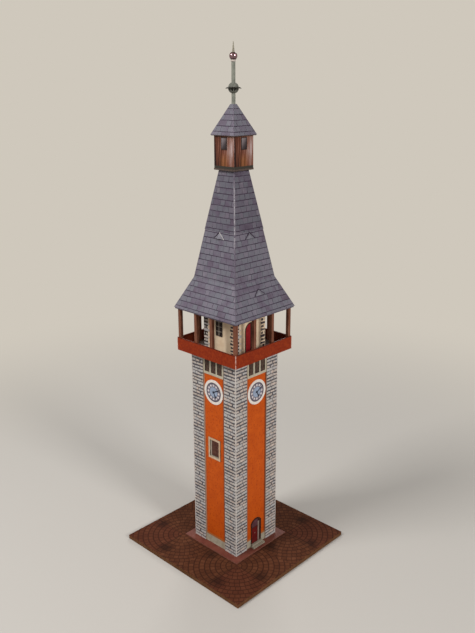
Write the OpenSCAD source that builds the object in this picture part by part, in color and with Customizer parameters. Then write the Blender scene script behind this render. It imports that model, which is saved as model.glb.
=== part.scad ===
// Fire lookout tower, a folded card model standing on a square board.
// Millimetres. Front is -Y, left is -X, up is +Z, origin under the middle of the board.

/* [Board and paving] */
// Side of the square board
base_side = 100; // [90:1:160]
// Thickness of the board
base_thickness = 2.5; // [1.5:0.1:5]
// Side of the plain sheet that the shaft stands on
pavement_side = 46.8; // [44:0.2:70]
// Thickness of that sheet
pavement_thickness = 0.5; // [0.2:0.1:1.5]

/* [Shaft] */
// Side of the shaft, over its piers
shaft_side = 37.2; // [36:0.1:41]
// Height of the shaft, from the sheet to the gallery floor
shaft_height = 130.2; // [110:0.1:160]
// Thickness of the shaft walls
wall_thickness = 1.0; // [0.6:0.1:2]
// How far the corner piers stand proud of the walls
pier_thickness = 0.4; // [0.3:0.05:0.8]
// Width of a corner pier on each face
pier_width = 10.0; // [8:0.1:10.6]

/* [Door at the foot] */
// Width of the lower step
step_width = 10.6; // [10.4:0.1:16]
// How far the upper step stands in at each end
step_inset = 0.5; // [0.1:0.1:0.6]
// Depth of each tread
step_depth = 1.6; // [1:0.1:2.4]
// Height of each step
step_height = 1.0; // [0.5:0.1:2]
// Width of the door at the foot
door_width = 9.4; // [6:0.1:9.6]
// Height of that door, to the top of its arch
door_height = 17.5; // [12:0.1:24]
// Rise of its arch
door_arch_rise = 2.6; // [1:0.1:4.6]
// Thickness of its card
door_thickness = 0.3; // [0.2:0.05:0.4]

/* [Shaft windows and clocks] */
// Gap between the window row and the gallery floor
row_gap = 0.2; // [0.1:0.1:2]
// Gap between the window row and the piers
row_side_gap = 0.1; // [0.05:0.05:1]
// Height of the window row, sill and top rail included
row_height = 12.2; // [9:0.1:16]
// Height of its sill
row_sill = 1.6; // [0.8:0.1:3]
// Height of its top rail
row_top_rail = 1.0; // [0.6:0.1:2]
// Width of the bars between its lights
row_mullion = 1.1; // [0.6:0.1:2]
// Width of its outer frame
row_stile = 1.2; // [0.8:0.1:2]
// Number of lights in the row
row_lights = 3; // [2:1:5]
// Width of the window halfway up, over its frame
stair_window_width = 10.4; // [7:0.1:15]
// Height of that window, over its frame
stair_window_height = 13.9; // [9:0.1:18]
// Width of its frame
stair_window_frame = 1.3; // [0.8:0.1:2.4]
// Height of its middle above the sheet
stair_window_centre = 68.9; // [20:0.1:88]
// Thickness of the window frames on the shaft
frame_thickness = 0.4; // [0.3:0.05:0.8]
// Depth of the panes in those frames
pane_recess = 0.2; // [0.1:0.05:0.25]
// Diameter of a clock dial
clock_diameter = 15.8; // [12:0.1:16.8]
// Thickness of the dial's card
clock_thickness = 0.3; // [0.2:0.05:0.6]
// Gap between the dial and the window row
clock_gap = 2.8; // [0.5:0.1:8]

/* [Gallery] */
// Thickness of the gallery floor
floor_thickness = 1.8; // [1:0.1:4]
// Side of the gallery, over its parapets
parapet_side = 49.2; // [44:0.1:54]
// Height of a parapet, from the floor's underside
parapet_height = 8.1; // [4.5:0.1:14]
// Thickness of a parapet
parapet_thickness = 0.6; // [0.4:0.1:1.2]
// Side of a square post
post_size = 2.0; // [1.2:0.1:3]
// Clear height of the gallery, from floor to ceiling
storey_height = 24.6; // [23:0.1:34]
// Places of the middle posts along a side, from its middle, seen from outside
post_offsets = [-7.7, 7.7]; // [-19:0.1:19]
// The same on the left side, where they stand unevenly
left_post_offsets = [-9.0, 4.0]; // [-19:0.1:19]

/* [Lookout room] */
// Side of the lookout room
room_side = 26.2; // [20:0.1:34]
// Thickness of its walls
room_wall = 0.8; // [0.5:0.1:1.6]
// Width of its door, surround included
room_door_width = 9.4; // [6:0.1:11]
// Height at which the door's arch begins
room_door_spring = 13.6; // [9:0.1:18]
// Thickness of the door's card
room_door_thickness = 0.3; // [0.2:0.05:0.6]
// Width of a room window
room_window_width = 5.4; // [3.6:0.1:10]
// Height of a room window
room_window_height = 12.0; // [7:0.1:14]
// Height of its sill above the gallery floor
room_window_sill = 9.7; // [4:0.1:12.4]
// Width of its frame
room_window_frame = 0.4; // [0.3:0.1:1]
// Thickness of its card
room_window_thickness = 0.3; // [0.2:0.05:0.6]
// Depth of its panes
room_pane_recess = 0.15; // [0.05:0.05:0.15]

/* [Spire] */
// Thickness of the gallery ceiling
ceiling_thickness = 0.8; // [0.4:0.1:2]
// How far the ceiling stands in from the eaves
ceiling_inset = 0.4; // [0.1:0.1:0.5]
// How far the eaves stand out over the parapets
eave_overhang = 1.0; // [0.2:0.1:3]
// Height of the flared skirt of the spire
skirt_height = 18.6; // [12:0.1:26]
// Side of the spire where the skirt ends
skirt_top_side = 33.6; // [30:0.1:40]
// Height of the middle tier
middle_height = 28.5; // [20:0.1:36]
// Side of the spire where the middle tier ends
middle_top_side = 23.6; // [20:0.1:28]
// How far the upper tier stands out over the middle one
upper_lip = 0.2; // [0.1:0.05:0.5]
// Height of the upper tier
upper_height = 34.0; // [24:0.1:44]
// Side of the spire at its top
upper_top_side = 11.8; // [8:0.1:15]
// Thickness of the folded roof card
roof_thickness = 0.6; // [0.5:0.1:1.2]

/* [Dormers] */
// Width of a gablet on the middle tier
middle_dormer_width = 8.0; // [5:0.1:14]
// Height of that gablet
middle_dormer_height = 3.8; // [2:0.1:6]
// How far its peak lies below the tier's top
middle_dormer_drop = 0.4; // [0.2:0.1:6]
// Width of a gablet on the skirt
low_dormer_width = 8.6; // [5:0.1:14]
// Height of that gablet
low_dormer_height = 3.3; // [2:0.1:5]
// How far its peak lies below the skirt's top
low_dormer_drop = 4.3; // [1:0.1:8]
// How far a gablet's nose stands out
dormer_reach = 1.6; // [0.8:0.1:3]
// How far the nose lies above the gablet's foot
dormer_tilt = 0.5; // [0.2:0.1:1]

/* [Lantern] */
// How far the lantern's floor stands out past its walls
lantern_floor_overhang = 0.15; // [0.05:0.05:1.2]
// Thickness of the lantern's floor
lantern_floor_thickness = 1.0; // [0.5:0.1:2]
// Side of the lantern
lantern_side = 15.6; // [12:0.1:17]
// Height of its walls
lantern_height = 17.9; // [12:0.1:26]
// Thickness of its walls
lantern_wall = 0.6; // [0.4:0.1:1.2]
// Width of a lantern window
lantern_window_width = 4.6; // [3:0.1:9]
// Height of a lantern window
lantern_window_height = 6.8; // [4:0.1:11]
// How far the window lies below the top of the wall
lantern_window_drop = 0.7; // [0.2:0.1:0.9]
// Width of its frame
lantern_window_frame = 0.4; // [0.3:0.1:1]
// Thickness of its card
lantern_window_thickness = 0.3; // [0.2:0.05:0.6]
// Depth of its pane
lantern_pane_recess = 0.15; // [0.05:0.05:0.15]
// How far the soffit stands in from the lantern's eaves
soffit_inset = 0.2; // [0.1:0.1:0.4]
// Thickness of the soffit
soffit_thickness = 0.4; // [0.3:0.1:1]
// How far the lantern's eaves stand out past its walls
lantern_eave_overhang = 1.4; // [0.8:0.1:3]
// Height of the lantern's roof
lantern_roof_height = 16.4; // [10:0.1:24]
// Flat rim left round the mast at the top of that roof
mast_margin = 0.1; // [0.05:0.05:0.6]

/* [Finial] */
// Diameter of the mast
mast_diameter = 2.2; // [1.4:0.1:2.4]
// Length of the mast between the roof and the crown
lower_mast_length = 5.8; // [3:0.1:10]
// Height of the cup under the crown
cup_height = 2.8; // [1.5:0.1:5]
// Diameter of the cup at its foot
cup_foot_diameter = 2.7; // [2.4:0.1:4]
// Diameter of the cup at its rim
cup_rim_diameter = 6.0; // [4.5:0.1:6.8]
// Diameter of the crown over its points
crown_diameter = 8.7; // [7.4:0.1:11]
// Diameter of the crown between its points
crown_root_diameter = 7.0; // [6.2:0.1:7.2]
// Thickness of the crown
crown_thickness = 0.4; // [0.3:0.1:1]
// Number of points round the crown
crown_points = 12; // [6:1:20]
// How far the points bend down
crown_droop = 0.6; // [0.1:0.1:1.4]
// Height of the dome on the crown
dome_height = 2.2; // [1:0.1:4]
// Diameter of the dome at its rim
dome_rim_diameter = 5.8; // [4:0.1:6.8]
// Diameter of the dome where the mast leaves it
dome_top_diameter = 3.0; // [2.4:0.1:3.8]
// Length of the mast between the dome and the collar
upper_mast_length = 11.1; // [7:0.1:16]
// Diameter of the collar under the ball
collar_diameter = 2.9; // [2.4:0.1:4]
// Height of the collar
collar_height = 0.9; // [0.5:0.1:2]
// Diameter of the ball
ball_diameter = 4.5; // [3.2:0.1:7]
// Diameter of the flats at the ball's foot and top
ball_flat_diameter = 2.4; // [1.6:0.1:2.8]
// Diameter of the spike at its foot
spike_diameter = 1.4; // [0.8:0.1:1.6]
// Diameter of the spike at its tip
spike_tip_diameter = 0.3; // [0.2:0.1:0.8]
// Length of the spike
spike_length = 5.6; // [3:0.1:10]

/* [Hidden] */
$fn = 64;

front = 0;
left = -90;
back = 180;
right = 90;
sides = [front, left, back, right];

pavement_top = base_thickness + pavement_thickness;
gallery_underside = pavement_top + shaft_height;
floor_top = gallery_underside + floor_thickness;
ceiling_underside = floor_top + storey_height;
eave_level = ceiling_underside + ceiling_thickness;
skirt_top = eave_level + skirt_height;
middle_top = skirt_top + middle_height;
upper_top = middle_top + upper_height;
lantern_floor_top = upper_top + lantern_floor_thickness;
lantern_top = lantern_floor_top + lantern_height;
soffit_top = lantern_top + soffit_thickness;
lantern_roof_top = soffit_top + lantern_roof_height;
cup_foot = lantern_roof_top + lower_mast_length;
crown_level = cup_foot + cup_height;
dome_foot = crown_level + crown_thickness;
dome_top = dome_foot + dome_height;
collar_foot = dome_top + upper_mast_length;
ball_foot = collar_foot + collar_height;

wall_half = shaft_side / 2 - pier_thickness;
panel_width = shaft_side - 2 * pier_width;
step_top = pavement_top + 2 * step_height;
floor_half = parapet_side / 2 - parapet_thickness;
eave_side = parapet_side + 2 * eave_overhang;
row_foot = gallery_underside - row_gap - row_height;
clock_centre = row_foot - clock_gap - clock_diameter / 2;
post_line = floor_half - post_size / 2;
room_half = room_side / 2;
row_width = panel_width - 2 * row_side_gap;
row_clear = row_width - 2 * row_stile - (row_lights - 1) * row_mullion;
light_width = row_clear / row_lights;
light_height = row_height - row_sill - row_top_rail;
upper_foot_side = middle_top_side + 2 * upper_lip;
lantern_floor_side = lantern_side + 2 * lantern_floor_overhang;
lantern_eave_side = lantern_side + 2 * lantern_eave_overhang;
soffit_side = lantern_eave_side - 2 * soffit_inset;
lantern_roof_top_side = mast_diameter + 2 * mast_margin;
ball_cut = sqrt(pow(ball_diameter, 2) - pow(ball_flat_diameter, 2)) / 2;
slit = 0.01;

// Turns a piece drawn for the front round to one side. Local x runs to the viewer's right.
module facing(side, distance, height = 0) {
  rotate([0, 0, side])
    translate([0, -distance, height])
      children();
}

// A plate on a wall: width, height, thickness, foot at z = 0, its back on the wall plane.
module plate(width, height, thickness) {
  translate([-width / 2, -thickness, 0])
    cube([width, thickness, height]);
}

// A shallow pocket in a plate, cut from the outside.
module pocket(width, height, thickness, depth) {
  translate([-width / 2, -thickness - slit, 0])
    cube([width, depth + slit, height]);
}

// A square ring of wall.
module square_tube(side, wall, height) {
  inner = side - 2 * wall;
  difference() {
    translate([-side / 2, -side / 2, 0])
      cube([side, side, height]);
    translate([-inner / 2, -inner / 2, -1])
      cube([inner, inner, height + 2]);
  }
}

module centred_slab(side, thickness, level) {
  translate([-side / 2, -side / 2, level])
    cube([side, side, thickness]);
}

// One slope of a hipped tier, mitred at both hips.
module slope(foot_side, top_side, foot, top, thickness) {
  a = foot_side / 2;
  b = top_side / 2;
  c = a - thickness;
  d = b - thickness;
  polyhedron(
    points = [
      [-a, -a, foot], [a, -a, foot], [b, -b, top], [-b, -b, top],
      [-c, -c, foot], [c, -c, foot], [d, -d, top], [-d, -d, top]
    ],
    faces = [
      [0, 3, 2, 1], [4, 5, 6, 7],
      [0, 1, 5, 4], [3, 7, 6, 2],
      [0, 4, 7, 3], [1, 2, 6, 5]
    ]
  );
}

// A closed square frustum.
module frustum(foot_side, top_side, foot, top) {
  a = foot_side / 2;
  b = top_side / 2;
  polyhedron(
    points = [
      [-a, -a, foot], [a, -a, foot], [a, a, foot], [-a, a, foot],
      [-b, -b, top], [b, -b, top], [b, b, top], [-b, b, top]
    ],
    faces = [
      [0, 1, 2, 3], [4, 7, 6, 5],
      [0, 4, 5, 1], [1, 5, 6, 2], [2, 6, 7, 3], [3, 7, 4, 0]
    ]
  );
}

// A folded tier open at its foot and top.
module frustum_shell(foot_side, top_side, foot, top, thickness) {
  lean = (foot_side - top_side) / (top - foot);
  difference() {
    frustum(foot_side, top_side, foot, top);
    frustum(
      foot_side - 2 * thickness + lean,
      top_side - 2 * thickness - lean,
      foot - 1,
      top + 1
    );
  }
}

// A small folded gablet lying on a slope.
module gablet(width, height, top_level, foot_side, top_side, foot, top) {
  lean = (foot_side - top_side) / 2 / (top - foot);
  low_level = top_level - height;
  out_low = top_side / 2 + lean * (top - low_level);
  out_high = top_side / 2 + lean * (top - top_level);
  polyhedron(
    points = [
      [-width / 2, -out_low, low_level],
      [width / 2, -out_low, low_level],
      [0, -out_high, top_level],
      [0, -out_low - dormer_reach, low_level + dormer_tilt]
    ],
    faces = [[0, 1, 2], [0, 3, 1], [1, 3, 2], [2, 3, 0]]
  );
}

module arched_plate(width, height, rise, thickness) {
  radius = (pow(width / 2, 2) + pow(rise, 2)) / (2 * rise);
  rotate([90, 0, 0])
    linear_extrude(thickness)
      intersection() {
        translate([-width / 2, 0])
          square([width, height]);
        union() {
          translate([-width / 2, 0])
            square([width, height - rise]);
          translate([0, height - radius])
            circle(r = radius);
        }
      }
}

module base_board() {
  color("#6b4434")
    centred_slab(base_side, base_thickness, 0);
}

module pavement_sheet() {
  color("#7a4438")
    centred_slab(pavement_side, pavement_thickness, base_thickness);
}

module door_steps() {
  color("#a39a86")
    facing(front, wall_half, pavement_top)
      union() {
        plate(step_width, step_height, 2 * step_depth);
        plate(step_width - 2 * step_inset, 2 * step_height, step_depth);
      }
}

module shaft_wall(side, width) {
  color("#b45020")
    facing(side, wall_half - wall_thickness, pavement_top)
      plate(width, shaft_height, wall_thickness);
}

module shaft_wall_front() {
  shaft_wall(front, 2 * wall_half);
}

module shaft_wall_back() {
  shaft_wall(back, 2 * wall_half);
}

module shaft_wall_left() {
  shaft_wall(left, 2 * (wall_half - wall_thickness));
}

module shaft_wall_right() {
  shaft_wall(right, 2 * (wall_half - wall_thickness));
}

// Four strips of stone-printed card, each folded round a corner.
module corner_piers() {
  color("#a59c94")
    for (side = sides)
      facing(side, 0, pavement_top)
        translate([-shaft_side / 2, -shaft_side / 2, 0])
          difference() {
            cube([pier_width, pier_width, shaft_height]);
            translate([pier_thickness, pier_thickness, -1])
              cube([pier_width, pier_width, shaft_height + 2]);
          }
}

module shaft_door() {
  color("#5c1616")
    facing(front, wall_half, step_top)
      arched_plate(door_width, door_height, door_arch_rise, door_thickness);
}

// Three lights in a cream frame, right under the gallery on each side.
module window_rows() {
  color("#cbb99a")
    for (side = sides)
      facing(side, wall_half, row_foot)
        difference() {
          plate(row_width, row_height, frame_thickness);
          for (i = [0 : row_lights - 1])
            translate([(i - (row_lights - 1) / 2) * (light_width + row_mullion), 0, row_sill])
              pocket(light_width, light_height, frame_thickness, pane_recess);
        }
}

module stair_windows() {
  color("#cbb99a")
    for (side = [left, right])
      facing(side, wall_half, pavement_top + stair_window_centre - stair_window_height / 2)
        difference() {
          plate(stair_window_width, stair_window_height, frame_thickness);
          translate([0, 0, stair_window_frame])
            pocket(
              stair_window_width - 2 * stair_window_frame,
              stair_window_height - 2 * stair_window_frame,
              frame_thickness,
              pane_recess
            );
        }
}

module clock_faces() {
  color("#d8d4d0")
    for (side = sides)
      facing(side, wall_half, clock_centre)
        rotate([90, 0, 0])
          cylinder(d = clock_diameter, h = clock_thickness);
}

module gallery_floor() {
  color("#4a4440")
    centred_slab(2 * floor_half, floor_thickness, gallery_underside);
}

module parapet(side, width) {
  color("#a03c20")
    facing(side, floor_half, gallery_underside)
      plate(width, parapet_height, parapet_thickness);
}

module parapet_front() {
  parapet(front, parapet_side);
}

module parapet_back() {
  parapet(back, parapet_side);
}

module parapet_left() {
  parapet(left, 2 * floor_half);
}

module parapet_right() {
  parapet(right, 2 * floor_half);
}

module post() {
  color("#7c4a38")
    translate([-post_size / 2, -post_size / 2, 0])
      cube([post_size, post_size, storey_height]);
}

module corner_posts() {
  for (side = sides)
    facing(side, post_line, floor_top)
      translate([-post_line, 0, 0])
        post();
}

module middle_posts() {
  for (side = sides)
    facing(side, post_line, floor_top)
      for (x = side == left ? left_post_offsets : post_offsets)
        translate([x, 0, 0])
          post();
}

module room_walls() {
  color("#cfb98e")
    translate([0, 0, floor_top])
      square_tube(room_side, room_wall, storey_height);
}

module room_door() {
  color("#5c1616")
    facing(front, room_half, floor_top)
      arched_plate(
        room_door_width,
        room_door_spring + room_door_width / 2,
        room_door_width / 2,
        room_door_thickness
      );
}

module room_windows() {
  color("#3a2c28")
    for (side = [left, back, right])
      facing(side, room_half, floor_top + room_window_sill)
        difference() {
          plate(room_window_width, room_window_height, room_window_thickness);
          translate([0, 0, room_window_frame])
            pocket(
              room_window_width - 2 * room_window_frame,
              room_window_height - 2 * room_window_frame,
              room_window_thickness,
              room_pane_recess
            );
        }
}

module gallery_ceiling() {
  color("#5a4a44")
    centred_slab(eave_side - 2 * ceiling_inset, ceiling_thickness, ceiling_underside);
}

module skirt(side) {
  color("#7a727c")
    facing(side, 0)
      slope(eave_side, skirt_top_side, eave_level, skirt_top, roof_thickness);
}

module skirt_front() {
  skirt(front);
}

module skirt_left() {
  skirt(left);
}

module skirt_back() {
  skirt(back);
}

module skirt_right() {
  skirt(right);
}

module middle_roof(side) {
  color("#7a727c")
    facing(side, 0)
      slope(skirt_top_side, middle_top_side, skirt_top, middle_top, roof_thickness);
}

module middle_roof_front() {
  middle_roof(front);
}

module middle_roof_left() {
  middle_roof(left);
}

module middle_roof_back() {
  middle_roof(back);
}

module middle_roof_right() {
  middle_roof(right);
}

module upper_roof() {
  color("#7a727c")
    frustum_shell(upper_foot_side, upper_top_side, middle_top, upper_top, roof_thickness);
}

module middle_dormers() {
  color("#857d85")
    for (side = sides)
      facing(side, 0)
        gablet(
          middle_dormer_width, middle_dormer_height, middle_top - middle_dormer_drop,
          skirt_top_side, middle_top_side, skirt_top, middle_top
        );
}

module low_dormers() {
  color("#857d85")
    for (side = [front, back])
      facing(side, 0)
        gablet(
          low_dormer_width, low_dormer_height, skirt_top - low_dormer_drop,
          eave_side, skirt_top_side, eave_level, skirt_top
        );
}

module lantern_floor() {
  color("#54524c")
    centred_slab(lantern_floor_side, lantern_floor_thickness, upper_top);
}

module lantern_walls() {
  color("#8a5a4a")
    translate([0, 0, lantern_floor_top])
      square_tube(lantern_side, lantern_wall, lantern_height);
}

module lantern_windows() {
  color("#4a4446")
    for (side = sides)
      facing(side, lantern_side / 2, lantern_top - lantern_window_drop - lantern_window_height)
        difference() {
          plate(lantern_window_width, lantern_window_height, lantern_window_thickness);
          translate([0, 0, lantern_window_frame])
            pocket(
              lantern_window_width - 2 * lantern_window_frame,
              lantern_window_height - 2 * lantern_window_frame,
              lantern_window_thickness,
              lantern_pane_recess
            );
        }
}

module lantern_soffit() {
  color("#5a5458")
    centred_slab(soffit_side, soffit_thickness, lantern_top);
}

// A folded pyramid with a small flat top for the mast, hollow underneath.
module lantern_roof() {
  color("#7a727c")
    difference() {
      frustum(lantern_eave_side, lantern_roof_top_side, soffit_top, lantern_roof_top);
      frustum(
        lantern_eave_side - 2 * roof_thickness,
        lantern_roof_top_side - roof_thickness,
        soffit_top - slit,
        lantern_roof_top - roof_thickness
      );
    }
}

module lower_mast() {
  color("#808478")
    translate([0, 0, lantern_roof_top])
      cylinder(d = mast_diameter, h = lower_mast_length);
}

// The slice of a ball that has these diameters at its foot and top.
module ball_slice(foot_diameter, top_diameter, height) {
  foot = foot_diameter / 2;
  top = top_diameter / 2;
  middle = (pow(top, 2) - pow(foot, 2) + pow(height, 2)) / (2 * height);
  radius = sqrt(pow(foot, 2) + pow(middle, 2));
  intersection() {
    translate([0, 0, middle])
      sphere(r = radius);
    cylinder(r = 2 * radius, h = height);
  }
}

module crown_cup() {
  color("#807c80")
    translate([0, 0, cup_foot])
      ball_slice(cup_foot_diameter, cup_rim_diameter, cup_height);
}

function ring(count, radius, start, level) = [
  for (i = [0 : count - 1])
    let (angle = start + i * 360 / count)
      [radius * cos(angle), radius * sin(angle), level]
];

// A thin disc with points round its edge, each bent down where it leaves the disc.
module crown_rim() {
  n = crown_points;
  root = crown_root_diameter / 2;
  tip = crown_diameter / 2;
  half_step = 180 / n;
  color("#3a3230")
    translate([0, 0, crown_level])
      polyhedron(
        points = concat(
          ring(n, root, 0, 0),
          ring(n, root, 0, crown_thickness),
          ring(n, tip, half_step, -crown_droop),
          ring(n, tip, half_step, crown_thickness - crown_droop)
        ),
        faces = concat(
          [[for (i = [0 : n - 1]) i]],
          [[for (i = [n - 1 : -1 : 0]) n + i]],
          [for (i = [0 : n - 1]) [i, 2 * n + i, (i + 1) % n]],
          [for (i = [0 : n - 1]) [n + (i + 1) % n, 3 * n + i, n + i]],
          [for (i = [0 : n - 1]) [i, n + i, 3 * n + i, 2 * n + i]],
          [for (i = [0 : n - 1]) [2 * n + i, 3 * n + i, n + (i + 1) % n, (i + 1) % n]]
        )
      );
}

module crown_dome() {
  color("#7c8074")
    translate([0, 0, dome_foot])
      ball_slice(dome_rim_diameter, dome_top_diameter, dome_height);
}

module upper_mast() {
  color("#808478")
    translate([0, 0, dome_top])
      cylinder(d = mast_diameter, h = upper_mast_length);
}

module ball_collar() {
  color("#c8c0b8")
    translate([0, 0, collar_foot])
      cylinder(d = collar_diameter, h = collar_height);
}

// The ball rests on a flat and carries the spike on another.
module finial_ball() {
  color("#8a6468")
    translate([0, 0, ball_foot + ball_cut])
      intersection() {
        sphere(d = ball_diameter);
        cube([2 * ball_diameter, 2 * ball_diameter, 2 * ball_cut], center = true);
      }
}

module finial_spike() {
  color("#6c6c5e")
    translate([0, 0, ball_foot + 2 * ball_cut])
      cylinder(d1 = spike_diameter, d2 = spike_tip_diameter, h = spike_length);
}

base_board();
pavement_sheet();
door_steps();
shaft_wall_front();
shaft_wall_left();
shaft_wall_back();
shaft_wall_right();
corner_piers();
shaft_door();
window_rows();
stair_windows();
clock_faces();
gallery_floor();
parapet_front();
parapet_left();
parapet_back();
parapet_right();
corner_posts();
middle_posts();
room_walls();
room_door();
room_windows();
gallery_ceiling();
skirt_front();
skirt_left();
skirt_back();
skirt_right();
middle_roof_front();
middle_roof_left();
middle_roof_back();
middle_roof_right();
upper_roof();
middle_dormers();
low_dormers();
lantern_floor();
lantern_walls();
lantern_windows();
lantern_soffit();
lantern_roof();
lower_mast();
crown_cup();
crown_rim();
crown_dome();
upper_mast();
ball_collar();
finial_ball();
finial_spike();
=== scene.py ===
"""Looks of a printed card tower on its board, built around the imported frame. Lengths in mm unless named."""
import math

import bpy
from mathutils import Matrix, Vector


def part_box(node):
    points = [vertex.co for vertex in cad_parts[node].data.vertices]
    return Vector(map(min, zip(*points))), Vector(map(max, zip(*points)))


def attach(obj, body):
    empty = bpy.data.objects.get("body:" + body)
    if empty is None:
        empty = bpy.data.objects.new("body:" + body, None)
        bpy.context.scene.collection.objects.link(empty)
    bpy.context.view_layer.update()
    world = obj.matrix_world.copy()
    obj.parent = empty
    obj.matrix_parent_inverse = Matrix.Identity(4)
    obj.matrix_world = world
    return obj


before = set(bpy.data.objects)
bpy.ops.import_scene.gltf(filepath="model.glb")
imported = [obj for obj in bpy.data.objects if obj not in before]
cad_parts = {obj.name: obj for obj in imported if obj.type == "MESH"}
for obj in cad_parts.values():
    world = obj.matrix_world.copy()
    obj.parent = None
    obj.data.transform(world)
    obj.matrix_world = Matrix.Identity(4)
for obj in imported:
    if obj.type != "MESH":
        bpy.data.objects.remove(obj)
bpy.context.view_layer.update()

# Sides run clockwise, seen from above. PAPER is the thickness of a printed sheet
MM = 0.001
FRONT, LEFT, BACK, RIGHT = range(4)
SIDES = (FRONT, LEFT, BACK, RIGHT)
SQUARE = ((-1, -1), (1, -1), (1, 1), (-1, 1))
PAPER = 0.04

MIX = "ShaderNodeMix"
VECTOR = "ShaderNodeVectorMath"
NOISE = "ShaderNodeTexNoise"
WHITE = "ShaderNodeTexWhiteNoise"
RAMP = "ShaderNodeMapRange"
JOIN = "ShaderNodeCombineXYZ"
SPLIT = "ShaderNodeSeparateXYZ"
STORE = "GeometryNodeStoreNamedAttribute"
STORED = "GeometryNodeInputNamedAttribute"


def reach(node):
    """Distance of a node's right-hand face from the tower's axis."""
    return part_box(node)[1].x / MM


def levels(node):
    """Lowest and highest level of a node."""
    low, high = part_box(node)
    return low.z / MM, high.z / MM


# Sizes read from the frame
base_top = levels("base_board")[1]
pavement_top = levels("pavement_sheet")[1]
shaft_top = levels("corner_piers")[1]
pier_face = reach("corner_piers")
row_low, row_high = levels("window_rows")
stair_low, stair_high = levels("stair_windows")
stair_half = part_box("stair_windows")[1].y / MM
frame_face = reach("stair_windows")
door_low, door_high = levels("shaft_door")
door_half = reach("shaft_door")
door_face = -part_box("shaft_door")[0].y / MM
dial_level = sum(levels("clock_faces")) / 2
dial_face = reach("clock_faces")
parapet_half = reach("parapet_front")
parapet_low, parapet_high = levels("parapet_front")
room_half = reach("room_walls")
room_foot, room_top = levels("room_walls")
room_door_half = reach("room_door")
room_door_face = -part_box("room_door")[0].y / MM
room_door_high = levels("room_door")[1]
glass_low, glass_high = levels("room_windows")
glass_face = reach("room_windows")
eave_low, skirt_top = levels("skirt_front")
eave_half = reach("skirt_right")
middle_top = levels("middle_roof_front")[1]
skirt_half = reach("middle_roof_right")
upper_top = levels("upper_roof")[1]
upper_half = reach("upper_roof")
lantern_half = reach("lantern_walls")
lantern_foot = levels("lantern_walls")[0]
port_low, port_high = levels("lantern_windows")
port_face = reach("lantern_windows")
lantern_eave = reach("lantern_roof")
roof_foot, roof_top = levels("lantern_roof")
middle_gablet_low = levels("middle_dormers")[0]
middle_gablet_reach = reach("middle_dormers")
low_gablet_low = levels("low_dormers")[0]
low_gablet_reach = -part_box("low_dormers")[0].y / MM

# Sizes that the boxes of the frame don't give, the same as in the model
panel_half = 8.6
light_width = 4.13
light_gap = 1.1
row_sill = 1.6
row_rail = 1.0
stair_frame = 1.3
pane_recess = 0.2
middle_half = 11.8
upper_top_half = 5.9
roof_top_half = 1.2
gablet_reach = 1.6
middle_gablet_half = 4.0
low_gablet_half = 4.3

# Sizes of the print, measured on the real card
plinth_height = 5.2
ochre_rise = 0.7
pier_edge = panel_half + 0.15
slate_pitch = 3.35
slate_width = 4.4
stone_pitch = 2.1
stone_length = 4.8
stone_repeat = 10
quoin = 3.8
cobble_ring = 3.33
cobble_length = 3.1
tile_half = 24.5
dark_blots = ((5.0, 27.0), (-22.0, 42.5), (26.5, 43.5))
board_width = 1.3
seam_low, seam_high = 200.0, 234.0
petals = 12

# Every print and paint by its name
prints = {}


def linear(text):
    """An sRGB hex colour as a linear colour with alpha."""
    parts = [int(text[i:i + 2], 16) / 255 for i in (1, 3, 5)]
    return (*[p / 12.92 if p <= 0.04045 else ((p + 0.055) / 1.055) ** 2.4 for p in parts], 1.0)


def adder(tree):
    """Gives the function that adds a node to a tree."""
    def add(kind, *values, **settings):
        """A node with its settings. Values come in order or in a dict. A bare operation is a math node."""
        if "Node" not in kind:
            kind, settings["operation"] = "ShaderNodeMath", kind
        made = tree.nodes.new(kind)
        for name, value in settings.items():
            setattr(made, name, value)
        inputs = values[0] if values and isinstance(values[0], dict) else dict(enumerate(values))
        for name, value in inputs.items():
            if isinstance(value, bpy.types.Node):
                value = next(output for output in value.outputs if output.enabled)
            if isinstance(value, bpy.types.NodeSocket):
                tree.links.new(value, made.inputs[name])
            else:
                made.inputs[name].default_value = value
        return made
    return add


def camera():
    """The photograph's viewpoint, fitted to the corners of the board, the tower and the spire."""
    azimuth, pitch, roll = (math.radians(angle) for angle in (43.82, 17.63, -0.19))
    distance, sideways, height = 422.8, 1.8, 288.3
    focal_pixels, long_side, sensor = 735.0, 633.0, 36.0
    ahead = Vector((math.cos(azimuth), math.sin(azimuth), 0))
    across = Vector((math.sin(azimuth), -math.cos(azimuth), 0))
    forward = math.cos(pitch) * ahead - math.sin(pitch) * Vector((0, 0, 1))
    above = across.cross(forward)
    right = math.cos(roll) * across + math.sin(roll) * above
    up = math.cos(roll) * above - math.sin(roll) * across
    place = -distance * ahead + sideways * across + Vector((0, 0, height))
    data = bpy.data.cameras.new("camera")
    data.sensor_width = sensor
    data.lens = sensor * focal_pixels / long_side
    held = bpy.data.objects.new("camera", data)
    bpy.context.scene.collection.objects.link(held)
    held.matrix_world = Matrix.Translation(place * MM) @ Matrix((right, up, -forward)).transposed().to_4x4()
    bpy.context.scene.camera = held


def card(name, roughness, grain=0.25, gloss=0.15):
    """A new material on printed card: a dull coat of ink, with the fine tooth of the paper under it."""
    tooth_depth = 0.02
    made = prints[name] = bpy.data.materials.new(name)
    made.use_nodes = True
    tree = made.node_tree
    add = adder(tree)
    shader = tree.nodes["Principled BSDF"]
    shader.inputs["Roughness"].default_value = roughness
    shader.inputs["Specular IOR Level"].default_value = gloss
    place = add("ShaderNodeTexCoord")
    point = add(VECTOR, {0: place.outputs["Object"], "Scale": 1 / MM}, operation="SCALE")
    tooth = add(NOISE, {"Vector": point, "Scale": 1 / grain, "Detail": 2.0})
    bump = add("ShaderNodeBump", {"Strength": 0.3, "Distance": tooth_depth * MM, "Height": tooth})
    tree.links.new(bump.outputs[0], shader.inputs["Normal"])
    return add, shader, point


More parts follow.
